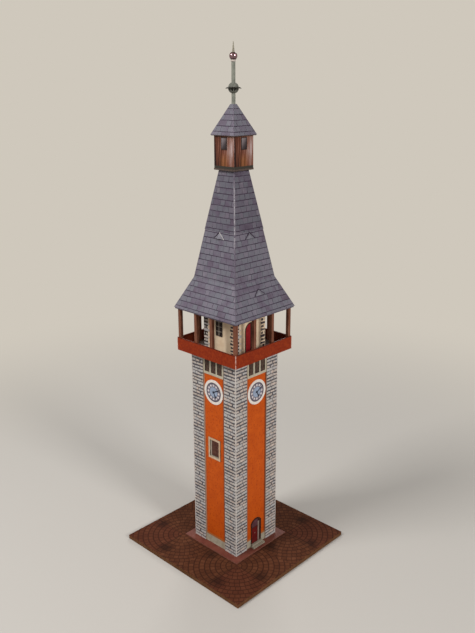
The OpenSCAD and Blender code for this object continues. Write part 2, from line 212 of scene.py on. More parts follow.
def around(add, point):
    """Where a point is on the four sides: u to the viewer's right, z, and its distance from the axis."""
    parts = add(SPLIT, point)
    x, y, z = parts.outputs
    far_x = add("ABSOLUTE", x)
    far_y = add("ABSOLUTE", y)
    on_flank = add("GREATER_THAN", far_x, far_y)
    sign_x = add("SIGN", x)
    sign_y = add("SIGN", y)
    flank_u = add("MULTIPLY", sign_x, y)
    turned = add("MULTIPLY", sign_y, -1.0)
    front_u = add("MULTIPLY", turned, x)
    u = add(MIX, {0: on_flank, 2: front_u, 3: flank_u})
    out = add("MAXIMUM", far_x, far_y)
    return u, z, out


def over(add, share, below, above):
    """Lays one ink over another where the share says."""
    above = linear(above) if isinstance(above, str) else above
    return add(MIX, {0: share, 6: below, 7: above}, data_type="RGBA").outputs[2]


def shaded(add, ink, value, none, full, most, text):
    """Lays one ink over another: none of it at one value, the most of it at another."""
    return over(add, add(RAMP, {0: value, 1: none, 2: full, 4: most}), ink, text)


def blotches(add, point, size, low=0.3, high=0.7, least=0.0, most=1.0, detail=3.0):
    """Soft blotches of a size in millimetres, as a value from least to most."""
    cloud = add(NOISE, {"Vector": point, "Scale": 1 / size, "Detail": detail})
    return add(RAMP, cloud, low, high, least, most)


def mottled(add, point, size, dark, light, low=0.35, high=0.65):
    """Two inks mixed in soft blotches."""
    return over(add, blotches(add, point, size, low, high), linear(dark), light)


def ramp_of(add, value, hexes):
    """A colour ramp through some inks, evenly spaced."""
    ramp = add("ShaderNodeValToRGB", value)
    stops = ramp.color_ramp.elements
    while len(stops) < len(hexes):
        stops.new(0.5)
    for i, text in enumerate(hexes):
        stops[i].position = i / (len(hexes) - 1)
        stops[i].color = linear(text)
    return ramp.outputs[0]


def finish(shader, ink):
    """Gives a material its ink."""
    shader.id_data.links.new(ink, shader.inputs["Base Color"])


def orange_card():
    """Orange plaster printed on satin card, with rusty specks, a pale foot band, and dark edges of painted
    shade along the piers.
    """
    add, shader, point = card("orange_plaster_print", 0.6)
    u, z = around(add, point)[:2]
    ink = mottled(add, point, 6.0, "#b24806", "#bc500a")
    specks = blotches(add, point, 1.3, 0.57, 0.69, most=0.65, detail=1.0)
    ink = over(add, specks, ink, "#943204")
    band_top = pavement_top + plinth_height
    from_line = add("SUBTRACT", z, band_top + ochre_rise)
    near_line = add("ABSOLUTE", from_line)
    for value, none, full, most, text in (
        (z, 60.0, 8.0, 0.25, "#a43c04"),  # redder low down
        (u, 1.4 - panel_half, 0.8 - panel_half, 0.5, "#6e3214"),  # shade along the left pier
        (u, 0.7 - panel_half, 0.4 - panel_half, 0.75, "#b48e76"),  # pale cut edge on the left
        (u, panel_half - 1.4, panel_half - 0.6, 0.7, "#4a2418"),  # shade along the right pier
        (near_line, 0.9, 0.5, 0.6, "#94683a"),  # ochre line over the band
    ):
        ink = shaded(add, ink, value, none, full, most, text)
    plinth = mottled(add, point, 2.5, "#8f8674", "#a39a88")
    in_band = add("LESS_THAN", z, band_top)
    finish(shader, over(add, in_band, ink, plinth))


def plate_print(name, hexes, cloud_size, shade, roughness, share=0.5):
    """Stones or slates printed on card: each plate has its tone, and soft clouds run over them."""
    add, shader, point = card(name, roughness)
    tone = add("ShaderNodeAttribute", attribute_name="tone")
    wide = blotches(add, point, cloud_size, detail=2.0)
    both = add(MIX, {0: share, 2: tone.outputs["Fac"], 3: wide})
    ink = ramp_of(add, both, hexes)
    light = blotches(add, point, 0.6, least=1.0 - shade, most=1.0 + shade)
    lit = add(VECTOR, {0: ink, "Scale": light}, operation="SCALE")
    finish(shader, lit.outputs[0])


def pier_ground():
    """Dark joint ink under the printed stones, and the pale cut edge of the card that stands off the wall."""
    add, shader, point = card("stone_joint_ink", 0.6)
    u, out = around(add, point)[::2]
    ink = mottled(add, point, 0.8, "#3c383c", "#5e5a5e")
    away = add("ABSOLUTE", u)
    ink = shaded(add, ink, away, panel_half + 0.35, pier_edge, 0.75, "#a08878")
    cut = add("LESS_THAN", out, pier_face - 0.02)
    finish(shader, over(add, cut, ink, "#a08c78"))


def frame_card(name, half, inks, streak):
    """A pale window frame printed on card, with a thin outline. The pane in its recess is a darker print."""
    frame_dark, frame_light, edge, pane_dark, pane_light = inks
    add, shader, point = card(name, 0.5)
    u, z, out = around(add, point)
    cream = mottled(add, point, 2.0, frame_dark, frame_light)
    away = add("ABSOLUTE", u)
    cream = shaded(add, cream, away, half - 0.35, half - 0.2, 0.8, edge)
    tall = add("MULTIPLY", z, 0.4)
    place = add(JOIN, u, tall, out)
    glass = mottled(add, place, streak, pane_dark, pane_light, 0.4, 0.6)
    deep = add("LESS_THAN", out, frame_face - pane_recess / 2)
    finish(shader, over(add, deep, cream, glass))


def grained(add, u, z, fine):
    """Upright wood grain as a value: fine across, drawn out along the board."""
    across = add("MULTIPLY", u, 1 / fine)
    tall = add("MULTIPLY", z, 0.04 / fine)
    place = add(JOIN, across, tall)
    return add(NOISE, {"Vector": place, "Scale": 1.0, "Detail": 3.0, "Roughness": 0.65}).outputs[0]


def plank_card():
    """Weathered upright boards printed on card: pale pink at the right of a face, dark low on its left."""
    add, shader, point = card("weathered_board_print", 0.55)
    u, z = around(add, point)[:2]
    streak = grained(add, u, z, 0.8)
    lean = add(RAMP, u, 1.5 - lantern_half, lantern_half - 2.5, -0.10, 0.17)
    foot = add(RAMP, z, lantern_foot, lantern_foot + 10.0, -0.12, 0.0)
    slope = add("ADD", lean, foot)
    value = add("ADD", streak, slope)
    spread = add(RAMP, value, 0.27, 0.78)
    ink = ramp_of(add, spread, ("#200e0c", "#402014", "#5e3222", "#744636", "#866458", "#ac9490"))
    middle = add(RAMP, {0: add("ABSOLUTE", u), 1: 4.0, 2: 1.0, 4: 0.55})
    low = add(RAMP, z, lantern_foot + 9.0, lantern_foot + 5.0)
    ochre = add("MULTIPLY", middle, low)
    ochre = add("MULTIPLY", ochre, streak)
    ink = over(add, ochre, ink, "#a86c34")
    board = add("MULTIPLY", u, 1 / board_width)
    in_board = add("FRACT", board)
    ink = shaded(add, ink, in_board, 0.16, 0.08, 0.7, "#2e140e")
    # The dark band at the foot is the printed beam, made darker still with painted shade where the lantern
    # meets the roof
    skirt = add("LESS_THAN", z, lantern_foot + 1.4)
    finish(shader, over(add, skirt, ink, "#34302a"))


def post_card():
    """Red-brown wood printed on the strips that make the posts."""
    add, shader, point = card("post_print", 0.6)
    u, z = around(add, point)[:2]
    spread = add(RAMP, grained(add, u, z, 0.5), 0.3, 0.7)
    finish(shader, ramp_of(add, spread, ("#502e20", "#633a2a", "#744835", "#845a48")))


def cobble_card():
    """Fan-laid cobbles printed on card: rings round four centres, red-brown with dark joints."""
    add, shader, point = card("cobble_print", 0.85, gloss=0.06)
    near = []
    legs = []
    cells = []
    for value in add(SPLIT, point).outputs[:2]:
        size = add("ABSOLUTE", value)
        near.append(add("SUBTRACT", size, tile_half))
        legs.append(add("ABSOLUTE", near[-1]))
        share = add("DIVIDE", value, tile_half)
        cells.append(add("FLOOR", share))
    both = add("MULTIPLY", *near)
    opposite = add("GREATER_THAN", both, 0.0)
    leg = add(JOIN, *legs)
    radius = add(VECTOR, leg, operation="LENGTH").outputs["Value"]
    ring = add("DIVIDE", radius, cobble_ring)
    row = add("FLOOR", ring)
    in_row = add("FRACT", ring)
    angle = add("ARCTAN2", legs[1], legs[0])
    middle = add("ADD", row, 0.5)
    turns = add("MULTIPLY", angle, middle)

    # A number for each fan and for each of its rings, so that each ring starts its stones elsewhere
    fan = add("MULTIPLY_ADD", cells[1], 10.0, cells[0])
    mark = add("MULTIPLY_ADD", fan, 100.0, row)
    shift = add(WHITE, {"W": mark}, noise_dimensions="1D")
    placed = add("MULTIPLY_ADD", turns, cobble_ring / cobble_length, shift.outputs["Value"])
    stone = add("FLOOR", placed)
    in_stone = add("FRACT", placed)
    gaps = []
    for value, width in ((in_row, 0.15), (in_stone, 0.10)):
        centred = add("SUBTRACT", value, 0.5)
        away = add("ABSOLUTE", centred)
        gaps.append(add(RAMP, away, 0.5 - width, 0.5 - 0.4 * width))
    seam = add("MINIMUM", *legs)
    gaps.append(add(RAMP, seam, 0.4, 0.1))
    gap = add("MAXIMUM", *gaps[:2])
    gap = add("MAXIMUM", gap, gaps[2])
    which = add(JOIN, row, stone, fan)
    tone = add(WHITE, {"Vector": which}, noise_dimensions="3D")
    wide = blotches(add, point, 6.0)
    mixed = add(MIX, {0: 0.5, 2: tone.outputs["Value"], 3: wide})
    ink = ramp_of(add, mixed, ("#442517", "#4c2b1b", "#55311f", "#5e3926"))
    ink = over(add, add("MULTIPLY", opposite, 0.35), ink, "#54291e")
    ink = over(add, add("MULTIPLY", gap, 0.75), ink, "#2c1710")
    u, z, out = around(add, point)
    place = add(JOIN, u, out)
    for spot in dark_blots:
        offset = add(VECTOR, place, (*spot, 0), operation="SUBTRACT")
        away = add(VECTOR, offset, operation="LENGTH").outputs["Value"]
        ink = shaded(add, ink, away, 6.5, 1.0, 0.65, "#1e100c")
    below = add("LESS_THAN", z, base_top - 0.05)
    edge = add("MULTIPLY", below, 0.8)
    finish(shader, over(add, edge, ink, mottled(add, point, 3.0, "#5a3c24", "#6a4830")))


def sheet_card():
    """The plain red-brown sheet round the foot. Its cut edge is a paler brown."""
    add, shader, point = card("paving_print", 0.55)
    z = add(SPLIT, point).outputs[2]
    ink = mottled(add, point, 4.0, "#603026", "#6c3c30")
    edge = add("LESS_THAN", z, pavement_top - 0.05)
    finish(shader, over(add, edge, ink, "#7a5042"))


def board_card():
    """Red-brown board print on the parapets, darker inside, and a dark line of painted shade along the top
    edge.
    """
    add, shader, point = card("red_board_print", 0.55)
    z, out = around(add, point)[1:]
    ink = mottled(add, point, 1.2, "#741e00", "#862c04")
    # Painted shade: a dark line along the top edge
    ink = shaded(add, ink, z, parapet_high - 0.5, parapet_high - 0.25, 0.8, "#2c100a")
    inner = add("LESS_THAN", out, parapet_half - 0.1)
    finish(shader, over(add, inner, ink, mottled(add, point, 4.0, "#642010", "#702810")))


def dial_card():
    """A clock dial printed on white card: white border, dark ring, grey hour ring, pale blue middle."""
    add, shader, point = card("dial_print", 0.45)
    u, z = around(add, point)[:2]
    up = add("SUBTRACT", z, dial_level)
    place = add(JOIN, u, up)
    radius = add(VECTOR, place, operation="LENGTH").outputs["Value"]
    angle = add("ARCTAN2", up, u)
    many = add("MULTIPLY", angle, 12.0)
    dash = add("SINE", many)
    dashed = add(RAMP, dash, -0.4, 0.4, 0.25, 0.9)
    ink = linear("#d8cfc6")
    soft = 0.12
    for edge, text, share in (
        (6.2, "#58505a", 1.0), (5.1, "#78727c", 1.0), (3.65, "#343038", dashed), (3.3, "#8c98ac", 1.0),
    ):
        inside = add(RAMP, radius, edge + soft, edge - soft)
        ink = over(add, add("MULTIPLY", inside, share), ink, text)
    light = blotches(add, point, 1.6, least=0.9, most=1.06, detail=2.0)
    finish(shader, add(VECTOR, {0: ink, "Scale": light}, operation="SCALE").outputs[0])


def port_card():
    """Lantern windows: a pale grey print that darkens to black towards its lower right, dark outline."""
    add, shader, point = card("grey_window_print", 0.5)
    u, z, out = around(add, point)
    fall = add(RAMP, z, port_low, port_high, 0.0, 0.7)
    across = add(RAMP, u, -2.0, 2.0, 0.35, -0.15)
    value = add("ADD", fall, across)
    ink = ramp_of(add, value, ("#241c1e", "#40383a", "#6c6264", "#7e7678"))
    rim = add("GREATER_THAN", out, port_face - 0.05)
    finish(shader, over(add, rim, ink, "#34241e"))


def worn_fold(name, ink_dark, ink_light, paper, low=None, high=None):
    """A fold where the ink has worn off the card in places, so the pale paper shows."""
    add, shader, point = card(name, 0.7)
    ink = mottled(add, point, 1.0, ink_dark, ink_light)
    share = blotches(add, point, 1.6, 0.36, 0.5)
    if low is not None:
        fade = 3.0
        z = add(SPLIT, point).outputs[2]
        rise = add(RAMP, z, low - fade, low + fade)
        drop = add(RAMP, z, high + fade, high - fade)
        band = add("MULTIPLY", rise, drop)
        share = add("MULTIPLY", share, band)
    finish(shader, over(add, share, ink, paper))


def metal_bead():
    """A rose metallised bead: polished, so it mirrors the lamps as bright spots. A painted reflection darkens
    it towards its poles.
    """
    add, shader, point = card("rose_metal_bead", 0.16)
    shader.inputs["Metallic"].default_value = 1.0
    low, high = levels("finial_ball")
    z = add(SPLIT, point).outputs[2]
    from_middle = add("SUBTRACT", z, (low + high) / 2)
    away = add("ABSOLUTE", from_middle)
    rose = mottled(add, point, 1.5, "#7e6064", "#987e86")
    # Painted reflection: darker towards the poles, for the dark parts of what the bead mirrors
    finish(shader, shaded(add, rose, away, 0.2 * (high - low), 0.45 * (high - low), 1.0, "#482c2c"))


def crown_card():
    """Grey-green card of the crown, with black triangles between the petals of its rim."""
    add, shader, point = card("crown_print", 0.55)
    x, y, z = add(SPLIT, point).outputs
    ink = mottled(add, point, 1.0, "#585850", "#6e6e66")
    angle = add("ARCTAN2", y, x)
    turns = add("MULTIPLY", angle, float(petals))
    wave = add("COSINE", turns)
    from_rim = add("SUBTRACT", z, levels("crown_rim")[0])
    near_rim = add("ABSOLUTE", from_rim)
    swing, middle = 0.6, 0.7
    height = add("MULTIPLY_ADD", wave, swing, middle)
    black = add("LESS_THAN", near_rim, height)
    finish(shader, over(add, black, ink, "#181814"))


def ceiling_card():
    """Dark brown card under the eaves: painted shade. Its rim is the folded edge of the slate print."""
    add, shader, point = card("ceiling_card", 0.6)
    out = around(add, point)[2]
    ink = mottled(add, point, 3.0, "#40342e", "#4c3e38")
    rim = add("GREATER_THAN", out, reach("gallery_ceiling") - 0.1)
    finish(shader, over(add, rim, ink, mottled(add, point, 1.5, "#4c4450", "#5c5460")))


def facing(side):
    """The turn that takes a piece drawn for the front round to one side."""
    return Matrix.Rotation(-side * math.pi / 2, 4, "Z")


def loft(sections, turn):
    """A closed skin through sections of (x, y, level) points, each counterclockwise from above."""
    count = len(sections[0])
    points = [turn @ Vector(point) for section in sections for point in section]
    faces = [list(reversed(range(count)))]
    for level in range(len(sections) - 1):
        first = level * count
        for i in range(count):
            j = (i + 1) % count
            faces.append([first + i, first + j, first + count + j, first + count + i])
    last = (len(sections) - 1) * count
    faces.append([last + i for i in range(count)])
    return points, faces


def prism(outline, out, thickness, side=FRONT):
    """A flat outline of (u, level) points, counterclockwise from outside, as a plate on one side."""
    back = [(u, -out, level) for u, level in outline]
    front = [(u, -out - thickness, level) for u, level in outline]
    return loft([back, front], facing(side))


def bar(u0, u1, level0, level1, out, thickness, side=FRONT):
    """An upright rectangle as a plate on one side."""
    return prism([(u0, level0), (u1, level0), (u1, level1), (u0, level1)], out, thickness, side)


def arch(half, foot, spring, rise, steps=10):
    """Outline of an arched opening: straight sides up to the spring, then a round head."""
    radius = (half ** 2 + rise ** 2) / (2 * rise)
    reach_angle = math.atan2(half, radius - rise)
    outline = [(-half, foot), (half, foot)]
    for i in range(steps + 1):
        angle = reach_angle * (1 - 2 * i / steps)
        outline.append((radius * math.sin(angle), spring + rise - radius + radius * math.cos(angle)))
    return outline


def clipped(outline, u0, u1, level0=-1e6, level1=1e6):
    """The part of a convex outline between two uprights and two levels."""
    for axis, bound, keep in ((0, u0, 1), (0, u1, -1), (1, level0, 1), (1, level1, -1)):
        kept = []
        for i, here in enumerate(outline):
            there = outline[(i + 1) % len(outline)]
            inside = keep * (here[axis] - bound) >= 0
            if inside:
                kept.append(here)
            if inside != (keep * (there[axis] - bound) >= 0):
                share = (bound - here[axis]) / (there[axis] - here[axis])
                kept.append(tuple(a + (b - a) * share for a, b in zip(here, there)))
        outline = kept
    return outline


def corner_fold(half_low, low, half_high, high, wing, proud, side):
    """A thin angle strip along one folded corner, from one level to another."""
    sink = 0.05
    sections = []
    for half, level in ((half_low, low), (half_high, high)):
        a = -half - proud
        b = -half + sink
        c = -half + wing
        sections.append([(x, y, level) for x, y in ((a, a), (c, a), (c, b), (b, b), (b, c), (a, c))])
    return loft(sections, facing(side))


def rib(start, end, width, side):
    """A thin square strip between two points given for the front."""
    start = Vector(start)
    end = Vector(end)
    along = (end - start).normalized()
    right = along.cross(Vector((0, -1, 0))).normalized() * width / 2
    ahead = right.cross(along).normalized() * width / 2
    sections = [[point + a * right + b * ahead for a, b in SQUARE] for point in (start, end)]
    return loft(sections, facing(side))


def hand(angle, length, leaf, out, side):
    """A clock hand with a short tail, a narrow neck and a leaf-shaped end."""
    neck, tail = 0.28, 0.9
    sine, cosine = math.sin(math.radians(angle)), math.cos(math.radians(angle))
    shape = [(neck, -tail), (neck, length * 0.35), (leaf, length * 0.7), (0, length)]
    shape += [(-x, y) for x, y in reversed(shape[:-1])]
    outline = [(x * cosine + y * sine, dial_level + y * cosine - x * sine) for x, y in shape]
    return prism(outline, out, PAPER, side)


def settle(made):
    """Fastens a finished piece to the tower."""
    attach(made, "root")
    return made


def piece(name, prisms, material):
    """One object from several closed skins, given in millimetres."""
    points = []
    faces = []
    for more_points, more_faces in prisms:
        first = len(points)
        points += [point * MM for point in more_points]
        faces += [[first + i for i in face] for face in more_faces]
    mesh = bpy.data.meshes.new(name)
    mesh.from_pydata(points, [], faces)
    mesh.materials.append(prints[material])
    mesh.validate()
    made = bpy.data.objects.new(name, mesh)
    bpy.context.scene.collection.objects.link(made)
    return settle(made)


def grow(tree, name, values):
    """Runs a geometry tree with named inputs and keeps the result as a plain mesh."""
    made = bpy.data.objects.new(name, bpy.data.meshes.new(name))
    bpy.context.scene.collection.objects.link(made)
    maker = made.modifiers.new("maker", "NODES")
    maker.node_group = tree
    for item in tree.interface.items_tree:
        if item.in_out == "INPUT":
            maker[item.identifier] = values[item.name]
    graph = bpy.context.evaluated_depsgraph_get()
    mesh = bpy.data.meshes.new_from_object(
        made.evaluated_get(graph), preserve_all_data_layers=True, depsgraph=graph)
    made.modifiers.clear()
    made.data = mesh
    return settle(made)


def start_tree(name, numbers, counts):
    """A geometry tree with named inputs: lengths, counts and a material."""
    tree = bpy.data.node_groups.new(name, "GeometryNodeTree")
    for label in numbers:
        tree.interface.new_socket(label, in_out="INPUT", socket_type="NodeSocketFloat")
    for label in counts:
        tree.interface.new_socket(label, in_out="INPUT", socket_type="NodeSocketInt")
    tree.interface.new_socket("Material", in_out="INPUT", socket_type="NodeSocketMaterial")
    tree.interface.new_socket("Geometry", in_out="OUTPUT", socket_type="NodeSocketGeometry")
    add = adder(tree)
    return add, add("NodeGroupInput").outputs


def scatter(add, count, marks):
    """One block for each mark: a point that keeps its numbers, and a box put on it. Gives the corners too."""
    kept = add("GeometryNodePoints", {"Count": count})
    for label, value in marks.items():
        kept = add(STORE, {"Geometry": kept, "Name": label, "Value": value})
    box = add("GeometryNodeMeshCube", {"Size": (1.0, 1.0, 1.0)})
    spread = add("GeometryNodeInstanceOnPoints", {"Points": kept, "Instance": box.outputs["Mesh"]})
    whole = add("GeometryNodeRealizeInstances", {"Geometry": spread})
    numbers = [add(STORED, {"Name": label}).outputs["Attribute"] for label in marks]
    where = add(SPLIT, add("GeometryNodeInputPosition"))
    corners = [add("ADD", where.outputs[axis], 0.5).outputs[0] for axis in range(3)]
    return whole, numbers, corners


def place_round(add, side, across, out, level):
    """A point given for the front, taken round to its side, in metres."""
    back = add("MULTIPLY", out, -1.0)
    flat = add(JOIN, across, back, level)
    angle = add("MULTIPLY", side, -math.pi / 2)
    turned = add("ShaderNodeVectorRotate", {"Vector": flat, "Angle": angle}, rotation_type="Z_AXIS")
    return add(VECTOR, {0: turned, "Scale": MM}, operation="SCALE")


def finish_tree(add, geometry, material):
    """Ends a geometry tree and gives it back."""
    done = add("GeometryNodeSetMaterial", {"Geometry": geometry, "Material": material})
    return add("NodeGroupOutput", {"Geometry": done}).id_data


def hour_tree():
    """Blocks for the hours round the dial on each side."""
    numbers = ("Radius", "Width", "Length", "Level", "Out", "Thickness")
    add, given = start_tree("hours", numbers, ("Hours",))
    count = add("MULTIPLY", given["Hours"], 4.0)
    index = add("GeometryNodeInputIndex")
    turn = add("DIVIDE", index, given["Hours"])
    which_side = add("FLOOR", turn)
    which_hour = add("MODULO", index, given["Hours"])
    whole, (side, hour), (right, up, outer) = scatter(add, count, {"side": which_side, "hour": which_hour})
    share = add("DIVIDE", hour, given["Hours"])
    angle = add("MULTIPLY", share, 2 * math.pi)
    sine = add("SINE", angle)
    cosine = add("COSINE", angle)
    radial = add("MULTIPLY_ADD", up, given["Length"], given["Radius"])
    centred = add("SUBTRACT", right, 0.5)
    wide = add("MULTIPLY", centred, given["Width"])
    widened = add("DIVIDE", radial, given["Radius"])
    sideways = add("MULTIPLY", wide, widened)
    swing = add("MULTIPLY", sideways, cosine)
    across = add("MULTIPLY_ADD", sine, radial, swing)
    drop = add("MULTIPLY", sideways, sine)
    lift = add("MULTIPLY", cosine, radial)
    rise = add("SUBTRACT", lift, drop)
    level = add("ADD", rise, given["Level"])
    out = add("MULTIPLY_ADD", outer, given["Thickness"], given["Out"])
    laid = add("GeometryNodeSetPosition", {
        "Geometry": whole, "Position": place_round(add, side, across, out, level)})
    return finish_tree(add, laid, given["Material"])


def course_tree():
    """Plates laid in courses on the four sides, staggered, with wandering joints, cut at both ends."""
    numbers = (
        "Near Foot", "Near Top", "Far Foot", "Far Top", "Out Foot", "Out Top", "Foot", "Top",
        "Pitch", "First", "Length", "Course Gap", "Joint", "Wide Joint", "Relief", "Wander",
        "Near Tooth", "Far Tooth",
    )
    add, given = start_tree("courses", numbers, ("Courses", "Plates", "Repeat", "Seed"))

    per_side = add("MULTIPLY", given["Courses"], given["Plates"])
    count = add("MULTIPLY", per_side, 4.0)
    index = add("GeometryNodeInputIndex")
    turn = add("DIVIDE", index, per_side)
    which_side = add("FLOOR", turn)
    place = add("MODULO", index, per_side)
    row = add("DIVIDE", place, given["Plates"])
    which_course = add("FLOOR", row)
    which_slot = add("MODULO", place, given["Plates"])
    whole, (side, course, slot), (right, up, outer) = scatter(
        add, count, {"side": which_side, "course": which_course, "slot": which_slot})

    # Fixed random numbers for each upright joint, plate corner and plate. Strides keep them apart
    row_stride, side_stride, corner_stride, first_mark = 131.0, 7001.0, 57.0, 7.0
    printed = add("MODULO", course, given["Repeat"])
    row_mark = add("MULTIPLY_ADD", printed, row_stride, first_mark)
    side_mark = add("MULTIPLY_ADD", side, side_stride, row_mark)
    joint = add("ADD", slot, right)
    joint_mark = add("ADD", joint, side_mark)
    corner_mark = add("MULTIPLY_ADD", up, corner_stride, joint_mark)
    plate_mark = add("ADD", slot, side_mark)
    draws = []
    for mark, lowest, extra in (
        (joint_mark, -1.0, 0), (corner_mark, -1.0, 0), (plate_mark, 0.0, 0), (joint_mark, 0.0, 50),
    ):
        whole_mark = add("ROUND", mark)
        seed = add("ADD", given["Seed"], float(extra))
        draw = add("FunctionNodeRandomValue", {"ID": whole_mark, "Seed": seed}, data_type="FLOAT")
        draws.append(add(RAMP, {0: draw, 3: lowest}))
    wander, lift, tone, luck = draws

    fall = add("SUBTRACT", given["Out Top"], given["Out Foot"])
    rise = add("SUBTRACT", given["Top"], given["Foot"])
    slope_vector = add(JOIN, fall, rise)
    slope = add(VECTOR, slope_vector, operation="LENGTH").outputs["Value"]

    # Low and high edge of a course: the first may have a height of its own, and the gap over it is ragged
    past = add("MULTIPLY_ADD", course, given["Pitch"], given["First"])
    before = add("SUBTRACT", past, given["Pitch"])
    not_first = add("GREATER_THAN", course, 0.5)
    low = add("MULTIPLY", before, not_first)
    low_share = add("DIVIDE", low, slope, use_clamp=True)
    full = add("SUBTRACT", past, low)
    joint_height = add("MULTIPLY", given["Course Gap"], given["Pitch"])
    wobble = add("MULTIPLY_ADD", lift, given["Wander"], 1.0)
    ragged = add("MULTIPLY", joint_height, wobble)
    clear = add("SUBTRACT", full, ragged)
    high = add("MULTIPLY_ADD", up, clear, low)
    share = add("DIVIDE", high, slope, use_clamp=True)

    # Ends of the strip at both edges of the course, with a tooth on every other one
    odd = add("MODULO", course, 2.0)
    limits = {}
    for end, sign in (("Near", -1.0), ("Far", 1.0)):
        tooth = add("MULTIPLY", odd, given[end + " Tooth"])
        shift = add("MULTIPLY", tooth, sign)
        for label, at in (("low", low_share), ("here", share)):
            edge = add(MIX, {0: at, 2: given[end + " Foot"], 3: given[end + " Top"]})
            limits[end, label] = add("ADD", edge, shift)
    out = add(MIX, {0: share, 2: given["Out Foot"], 3: given["Out Top"]})
    level = add(MIX, {0: share, 2: given["Foot"], 3: given["Top"]})

    # Upright joints: each sways, and those near an end or past it are moved onto it
    near_end, sway_share, beyond_all, luck_for_wide = 0.3, 0.8, 1000.0, 0.88
    ends = add("ADD", given["Near Foot"], given["Far Foot"])
    middle = add("MULTIPLY", ends, 0.5)
    half_count = add("MULTIPLY", given["Plates"], 0.5)
    shift = add("MULTIPLY_ADD", odd, 0.5, slot)
    first = add("SUBTRACT", shift, half_count)
    left_edge = add("MULTIPLY_ADD", first, given["Length"], middle)
    right_edge = add("ADD", left_edge, given["Length"])
    edge = add("MULTIPLY_ADD", right, given["Length"], left_edge)
    margin = add("MULTIPLY", given["Length"], near_end)
    far_snap = add("SUBTRACT", limits["Far", "low"], margin)
    near_snap = add("ADD", limits["Near", "low"], margin)
    past_far = add("GREATER_THAN", edge, far_snap)
    past_near = add("LESS_THAN", edge, near_snap)
    sway = add("MULTIPLY", wander, margin)
    swayed = add("MULTIPLY_ADD", sway, sway_share, edge)
    beyond = add("SUBTRACT", past_far, past_near)
    pushed = add("MULTIPLY_ADD", beyond, beyond_all, swayed)
    held = add("ShaderNodeClamp", pushed, limits["Near", "here"], limits["Far", "here"])
    lucky = add("GREATER_THAN", luck, luck_for_wide)
    joint_width = add(MIX, {0: lucky, 2: given["Joint"], 3: given["Wide Joint"]})
    inward = add("SUBTRACT", 0.5, right)
    across = add("MULTIPLY_ADD", inward, joint_width, held)

    # A plate lies on the slope, half as thick at its top
    thin = add("MULTIPLY_ADD", up, -0.5, 1.0)
    proud = add("MULTIPLY", outer, thin)
    height = add("MULTIPLY", proud, given["Relief"])
    per_length = add("DIVIDE", height, slope)
    out_by = add("MULTIPLY_ADD", rise, per_length, out)
    turned_fall = add("MULTIPLY", fall, -1.0)
    up_by = add("MULTIPLY_ADD", turned_fall, per_length, level)

    # Plates that fall past an end or past the top are taken away
    over_far = add("GREATER_THAN", left_edge, far_snap)
    over_near = add("LESS_THAN", right_edge, near_snap)
    over_top = add("GREATER_THAN", low_share, 0.985)
    ends_over = add("MAXIMUM", over_far, over_near)
    spare = add("MAXIMUM", ends_over, over_top)
    marked = add(STORE, {"Geometry": whole, "Name": "spare", "Value": spare})
    laid = add("GeometryNodeSetPosition", {
        "Geometry": marked, "Position": place_round(add, side, across, out_by, up_by)})
    toned = add(STORE, {"Geometry": laid, "Name": "tone", "Value": tone})
    is_spare = add(STORED, {"Name": "spare"}).outputs["Attribute"]
    cut = add("GeometryNodeDeleteGeometry", {"Geometry": toned, "Selection": is_spare})
    return finish_tree(add, cut, given["Material"])


def roof_course(name, foot_half, foot, top_half, top, material, first, seed):
    """Slates on one tier of the spire."""
    slope = math.hypot(foot_half - top_half, top - foot)
    return grow(courses, name, {
        "Near Foot": -foot_half, "Near Top": -top_half, "Far Foot": foot_half, "Far Top": top_half,
        "Out Foot": foot_half, "Out Top": top_half, "Foot": foot, "Top": top,
        "Pitch": slate_pitch, "First": first, "Length": slate_width,
        "Course Gap": 0.13, "Joint": 0.16, "Wide Joint": 0.34, "Relief": 0.08, "Wander": 0.25,
        "Near Tooth": 0.0, "Far Tooth": 0.0,
        "Courses": math.ceil((slope - first) / slate_pitch) + 1,
        "Plates": 2 * math.ceil(foot_half / slate_width) + 2,
        "Repeat": 1000, "Seed": seed, "Material": prints[material],
    })


def stone_course(name, near, far, face, foot, top, material, near_tooth=0.0, far_tooth=0.0, seed=5):
    """Stones on one strip of each side, from near to far, seen from outside."""
    return grow(courses, name, {
        "Near Foot": near, "Near Top": near, "Far Foot": far, "Far Top": far,
        "Out Foot": face, "Out Top": face, "Foot": foot, "Top": top,
        "Pitch": stone_pitch, "First": stone_pitch, "Length": stone_length,
        "Course Gap": 0.39, "Joint": 0.38, "Wide Joint": 1.0, "Relief": PAPER, "Wander": 0.55,
        "Near Tooth": near_tooth, "Far Tooth": far_tooth,
        "Courses": math.ceil((top - foot) / stone_pitch),
        "Plates": math.ceil((far - near) / stone_length) + 3,
        "Repeat": stone_repeat, "Seed": seed, "Material": prints[material],
    })


def seen_straight(add):
    """One where a ray comes from the camera or off a shiny surface, else zero."""
    seen = add("ShaderNodeLightPath").outputs
    return add("MAXIMUM", seen["Is Camera Ray"], seen["Is Glossy Ray"])


